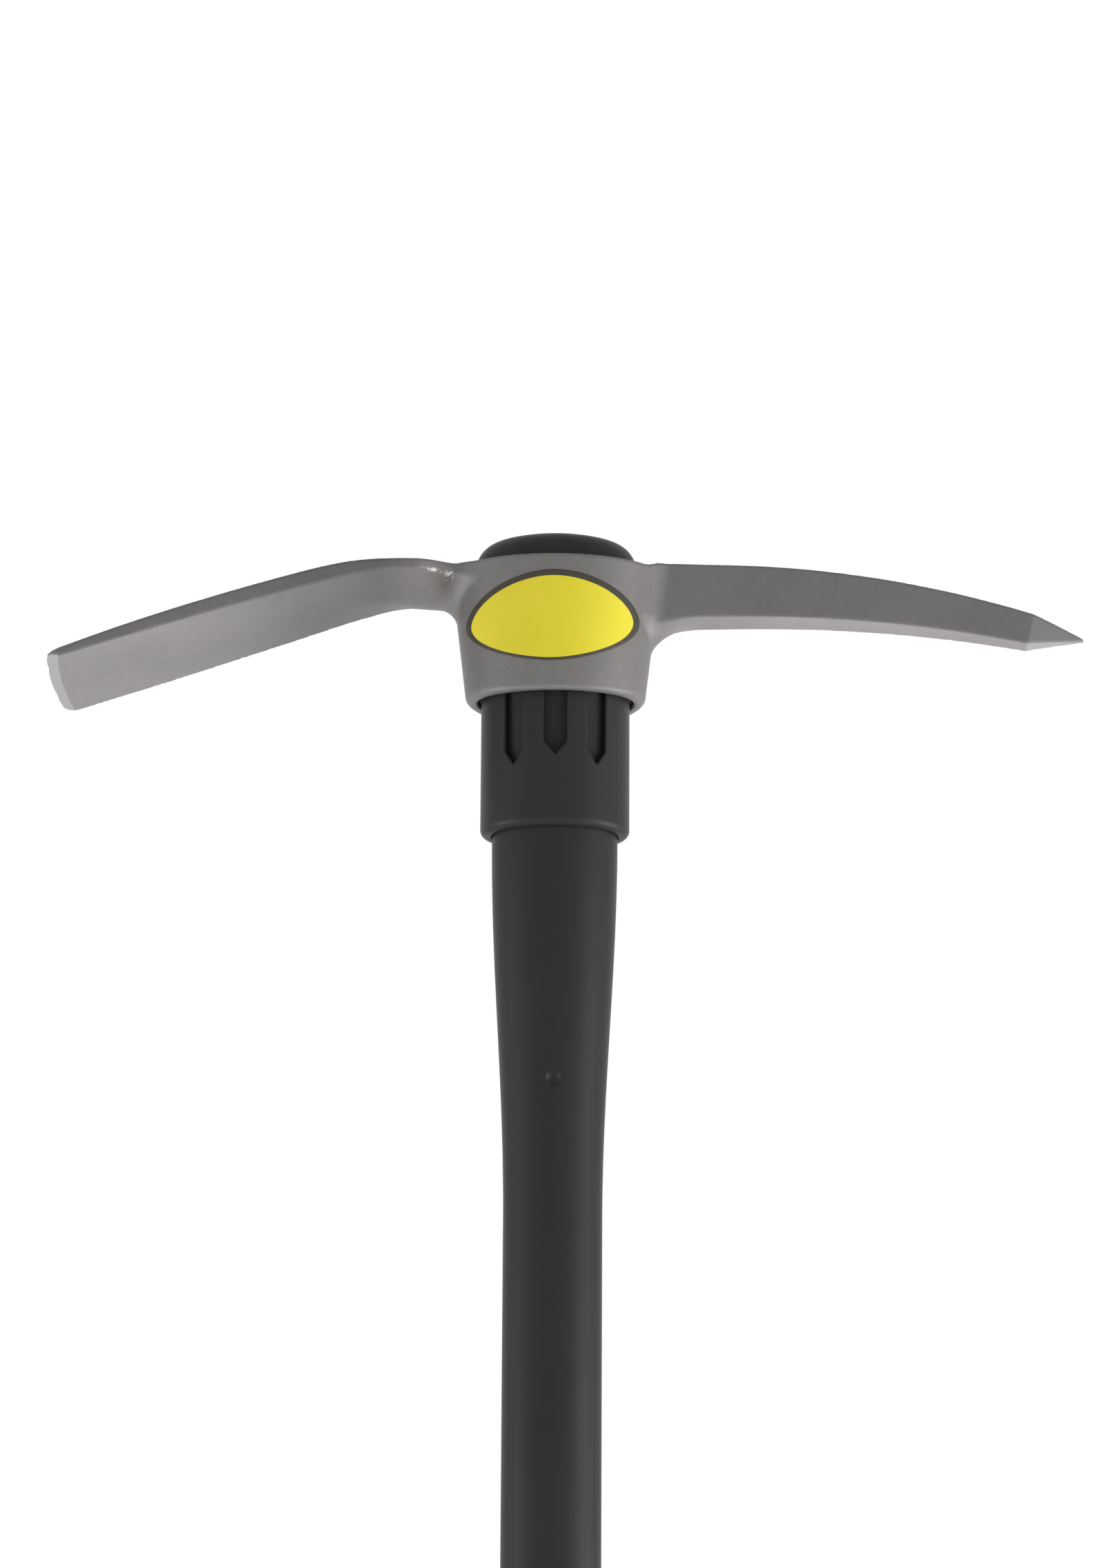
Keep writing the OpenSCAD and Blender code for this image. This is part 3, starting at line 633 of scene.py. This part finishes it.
def steel():
    m = Nodes("blasted_steel")
    at = m.place()
    x, y, z = m.parts(at)
    geometry = m.add("ShaderNodeNewGeometry")
    up = m.parts(geometry.outputs["Normal"])[2]
    # Ground faces: under the hoe's edge, and the four of the pick's point
    bow = m.math("MULTIPLY", m.math("MULTIPLY", y, y), HOE_BOW * MM / (HOE_EDGE_HALF * MM) ** 2)
    edge = m.math("ADD", m.math("MULTIPLY", x, -1.0), bow)
    edge = m.math("SUBTRACT", edge, HOE_REACH * MM - HOE_BEVEL * MM)
    edge = m.map(edge, 0.0, 1.0, -0.0001, 0.0002)
    edge = m.math("MULTIPLY", edge, m.math("LESS_THAN", up, -0.5))
    tip = math.asin((PICK_POINT_AT - PICK_BEND_AT) / PICK_BEND_R)
    tip_z = PICK_MIDDLE - PICK_BEND_R * (1 - math.cos(tip))
    far = m.math("SUBTRACT", m.math("MULTIPLY", x, math.cos(tip)),
                 m.math("MULTIPLY", z, math.sin(tip)))
    start = (PICK_POINT_AT * math.cos(tip) - tip_z * math.sin(tip)) * MM
    point = m.map(far, 0.0, 1.0, start - 0.0001, start + 0.0002)
    # Painted shade along the head, with painted light that makes it brighter where it faces down
    # under the hoe's blade and the pick
    along = m.map(x, 0.0, 1.0, -SHADE_ALONG_SPAN, SHADE_ALONG_SPAN)
    painted_shade = m.ramp(along, *((share, grey(v)) for share, v in SHADE_ALONG_HEAD))
    painted_light_under = m.math("MULTIPLY", painted_shade, m.map(x, 1.17, 2.05, 0.03, 0.09))
    painted_light_under = m.math("MULTIPLY", painted_light_under, m.map(x, 1.40, 1.0, -0.148, -0.10))
    under = m.map(up, 1.0, 0.0, -0.9, -0.6)
    painted_shade = m.blend(under, painted_shade, painted_light_under)
    cloud = m.noise(at, 22.0, 4.0)
    grit = m.noise(at, 420.0, 2.0, 0.6)
    speck = m.noise(at, 1100.0, 3.0, 0.65)
    mottle = m.math("ADD", m.math("MULTIPLY", cloud, 0.6), m.math("MULTIPLY", grit, 0.4))
    colour = m.ramp(mottle, (0.33, STEEL_DARK), (0.67, STEEL_LIGHT))
    # The steel's colour is darkened and lightened by that painted shade and light
    colour = m.blend(1.0, colour, painted_shade, "MULTIPLY")
    # Convex edges are lighter: partly wear, partly a painted highlight along the edges
    wear_and_highlight = m.ramp(geometry.outputs["Pointiness"], (0.54, grey(0.0)), (0.62, grey(0.35)))
    colour = m.blend(wear_and_highlight, colour, WEAR_AND_EDGE_HIGHLIGHT)
    # Painted glints on the hoe's lower edge, next to the eye: a thin bright streak and a bright
    # spot at its end
    glint_streak = m.map(m.far_from(at, GLINT_FROM, GLINT_TO), 0.8, 0.0, 0.0003, 0.0012)
    spot = m.map(m.far_from(at, GLINT_TO, GLINT_TO + GLINT_SPOT), 1.0, 0.0, 0.0007, 0.0024)
    painted_glint = m.math("MULTIPLY", m.math("MAXIMUM", glint_streak, spot),
                    m.map(grit, 0.0, 1.0, 0.40, 0.52))
    colour = m.blend(painted_glint, colour, GLINT_COLOUR)
    colour = m.blend(edge, colour, GROUND)
    # The point's facets take painted shade where they face sideways and painted light where they
    # face down
    colour = m.blend(point, colour, m.blend(under, FACET_SIDE_SHADE, FACET_UNDER_LIGHT))
    m.set(Base_Color=colour, Metallic=0.3, Roughness=m.map(speck, 0.46, 0.58),
          Normal=m.bump(speck, 0.00014, 0.55))
    return m.material


def black_plastic(name, base, low, high, dull_lit_zone=None):
    """Satin black, and rougher between two heights, in metres, where the collar covers it, with
    its colour there lifted a little as painted light in the slot floors.
    """
    m = Nodes(name)
    at = m.place()
    grain = m.noise(at, 1500.0, 2.0, 0.6)
    cloud = m.noise(at, 30.0, 3.0)
    colour = m.ramp(cloud, (0.3, tuple(0.85 * c for c in base)), (0.7, base))
    roughness = m.map(cloud, low, high)
    if dull_lit_zone:
        z = m.parts(at)[2]
        dull_lit = m.math("MULTIPLY", m.math("GREATER_THAN", z, dull_lit_zone[0]),
                      m.math("LESS_THAN", z, dull_lit_zone[1]))
        # The colour there is lifted a little: painted light that lightens the slot floors
        colour = m.blend(dull_lit, colour, tuple(1.1 * c for c in base))
        roughness = m.math("ADD", roughness, m.math("MULTIPLY", dull_lit, 0.25))
    m.set(Base_Color=colour, Specular_IOR_Level=0.22, Roughness=roughness,
          Normal=m.bump(grain, 0.00004, 0.4))
    return m.material


def rubber():
    m = Nodes("grip_rubber")
    at = m.place()
    grain = m.noise(at, 1100.0, 3.0, 0.7)
    cloud = m.noise(at, 40.0, 3.0)
    m.set(Base_Color=m.ramp(cloud, (0.3, grey(0.010)), (0.7, grey(0.017))),
          Specular_IOR_Level=0.2, Roughness=m.map(grain, 0.62, 0.8),
          Normal=m.bump(grain, 0.00012, 0.6))
    return m.material


def fibreglass():
    m = Nodes("drawn_fibreglass")
    stretched = m.add("ShaderNodeMapping", {"Vector": m.place(), "Scale": (900.0, 900.0, 6.0)})
    fibre = m.noise(stretched.outputs["Vector"], 1.0, 4.0, 0.6)
    m.set(Base_Color=m.ramp(fibre, (0.35, (0.50, 0.40, 0.16)), (0.65, (0.74, 0.64, 0.33))),
          Roughness=m.map(fibre, 0.28, 0.42), Normal=m.bump(fibre, 0.00005, 0.4))
    return m.material


def resin():
    m = Nodes("set_resin")
    cloud = m.noise(m.place(), 160.0, 3.0)
    m.set(Base_Color=m.ramp(cloud, (0.35, (0.10, 0.085, 0.05)), (0.65, (0.17, 0.145, 0.085))),
          Roughness=m.map(cloud, 0.25, 0.4))
    return m.material


YELLOW_DARK, YELLOW_LIGHT = (0.89, 0.765, 0.046), (0.92, 0.80, 0.056)
LABEL_BORDER = (0.062, 0.056, 0.042)


def label_film():
    m = Nodes("label_film")
    at = m.place()
    x, _, z = m.parts(at)
    x = m.math("SUBTRACT", x, (LABEL_AT[0] + FIELD_SHIFT[0]) * MM)
    z = m.math("SUBTRACT", z, (LABEL_AT[1] + FIELD_SHIFT[1]) * MM)
    (wide, high), cos, sin = FIELD_HALF, math.cos(LABEL_TURN), math.sin(LABEL_TURN)
    u = m.math("ADD", m.math("MULTIPLY", x, cos / (wide * MM)),
               m.math("MULTIPLY", z, sin / (wide * MM)))
    v = m.math("SUBTRACT", m.math("MULTIPLY", z, cos / (high * MM)),
               m.math("MULTIPLY", x, sin / (high * MM)))
    far = m.math("ADD", m.math("POWER", m.math("ABSOLUTE", u), LABEL_POINTED),
                 m.math("POWER", m.math("ABSOLUTE", v), LABEL_POINTED))
    cloud = m.noise(at, 60.0, 3.0)
    yellow = m.ramp(cloud, (0.3, YELLOW_DARK), (0.7, YELLOW_LIGHT))
    # The field ends where far is 1, which is half way along the ramp
    border = m.ramp(m.math("MULTIPLY", far, 0.5),
                    (0.0, grey(0.0)), (0.492, grey(0.0)), (0.5, grey(1.0)))
    grain = m.noise(at, 1400.0, 2.0)
    m.set(Base_Color=m.blend(border, yellow, LABEL_BORDER), Specular_IOR_Level=0.25,
          Roughness=m.map(cloud, 0.42, 0.52), Normal=m.bump(grain, 0.00002, 0.3))
    return m.material


# The pieces. The grids of the two skins start clear of the solids, at uneven numbers, so that
# no flat face falls on a grid plane.
HEAD_LOW, HEAD_HIGH = (-199.3, -40.3, EYE_BOTTOM - 4.3), (208.3, 40.3, EYE_TOP + 5.3)
HEAD_CELL = 0.85
COLLAR_LOW, COLLAR_HIGH = (-32.1, -25.1, COLLAR_BOTTOM - 2.1), (32.1, 25.1, FINGER_TOP + 2.1)
COLLAR_CELL = 0.6
COLLAR_BLACK, HANDLE_BLACK = (0.0225, 0.0208, 0.0203), (0.0195, 0.018, 0.0175)
# Heights where the collar covers the handle; the handle's colour there is lifted as painted light
# in the slot floors
COVERED = ((COLLAR_BOTTOM + 2) * MM, (EYE_BOTTOM + 20) * MM)

piece("forged_head", skin_of(head_field, HEAD_LOW, HEAD_HIGH, HEAD_CELL), steel(),
      "mattock_head")
piece("slotted_collar", skin_of(collar_field, COLLAR_LOW, COLLAR_HIGH, COLLAR_CELL),
      black_plastic("collar_black", COLLAR_BLACK, 0.38, 0.48), "wedge_collar")
piece("moulded_handle", handle_mesh(),
      black_plastic("handle_black", HANDLE_BLACK, 0.40, 0.50, COVERED),
      "handle_jacket")
piece("ribbed_grip", grip_mesh(), rubber(), "grip_sleeve")
piece("cheek_label", label_mesh(), label_film(), "label")

# CAD nodes that stay: the core inside the handle and the resin round the bulb
for node, material in (("fibreglass_core", fibreglass()), ("eye_bond", resin())):
    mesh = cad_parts[node].data
    mesh.materials.clear()
    mesh.materials.append(material)

# A round pale floor, in metres
FLOOR_R, FLOOR_Y = 1.7, 0.4
floor_mesh = bpy.data.meshes.new("floor")
rim = np.radians(np.arange(0, 360, 3))
floor_mesh.from_pydata([(FLOOR_R * math.cos(t), FLOOR_Y + FLOOR_R * math.sin(t), 0) for t in rim],
                       [], [tuple(range(len(rim)))])
floor = bpy.data.objects.new("floor", floor_mesh)
scene.collection.objects.link(floor)
paint = Nodes("pale_floor")
paint.set(Base_Color=grey(0.84), Roughness=0.9)
floor_mesh.materials.append(paint.material)

# A white world for the camera and for reflections, and a dim one as light
world = bpy.data.worlds.new("studio")
scene.world = world
world.use_nodes = True
tree = world.node_tree
backdrop = tree.nodes["Background"]
backdrop.inputs["Color"].default_value = (1, 1, 1, 1)
room = tree.nodes.new("ShaderNodeBackground")
room.inputs["Color"].default_value = (0.22, 0.22, 0.22, 1)
path = tree.nodes.new("ShaderNodeLightPath")
choice = tree.nodes.new("ShaderNodeMixShader")
seen = path.outputs["Is Camera Ray"]
for ray in ("Is Glossy Ray", "Is Transmission Ray"):
    also = tree.nodes.new("ShaderNodeMath")
    also.operation = "MAXIMUM"
    tree.links.new(seen, also.inputs[0])
    tree.links.new(path.outputs[ray], also.inputs[1])
    seen = also.outputs["Value"]
tree.links.new(seen, choice.inputs["Fac"])
tree.links.new(room.outputs["Background"], choice.inputs[1])
tree.links.new(backdrop.outputs["Background"], choice.inputs[2])
tree.links.new(choice.outputs["Shader"], tree.nodes["World Output"].inputs["Surface"])

# Round soft lamps: name, place and aim in metres, width in metres, power in watts
LAMPS = (("side_right", (1.5, -0.8, 0.6), (0, 0, 0.86), 1.0, 9.8),
         ("soft_left", (-1.5, -0.55, 0.85), (0, 0, 0.86), 1.4, 2.5),
         ("side_left", (-1.3, -0.5, 0.2), (0, 0, 0.86), 0.9, 10.5),
         ("low_right", (1.3, -0.2, 0.1), (0, 0, 0.88), 0.9, 18),
         ("floor_wash", (0.0, FLOOR_Y, 0.03), (0.0, FLOOR_Y, 0.0), 5.0, 42))
for name, place, aim, width, power in LAMPS:
    light = bpy.data.lights.new(name, "AREA")
    light.shape = "DISK"
    light.size = width
    light.energy = power
    lamp = bpy.data.objects.new(name, light)
    scene.collection.objects.link(lamp)
    lamp.location = place
    away = Vector(place) - Vector(aim)
    lamp.rotation_euler = away.to_track_quat("Z", "Y").to_euler()
    lamp.visible_camera = False

scene.view_settings.view_transform = "Standard"

# The camera at the photo's place: focal length and image height in the photo's pixels
FOCAL_PX, IMAGE_H, SENSOR = 7490, 2274, 36
CAMERA_AT = (0.00193, -1.92726, (EYE_TOP - 619.45) * MM)
LOOK_UP, ROLL = 15.5, 0.3
camera_data = bpy.data.cameras.new("camera")
camera_data.lens = FOCAL_PX * SENSOR / IMAGE_H
camera_data.sensor_width = SENSOR
camera = bpy.data.objects.new("camera", camera_data)
scene.collection.objects.link(camera)
tilt = Matrix.Rotation(math.radians(90 + LOOK_UP), 4, "X")
tilt = tilt @ Matrix.Rotation(math.radians(ROLL), 4, "Z")
camera.matrix_world = Matrix.Translation(CAMERA_AT) @ tilt
scene.camera = camera

bpy.context.view_layer.update()
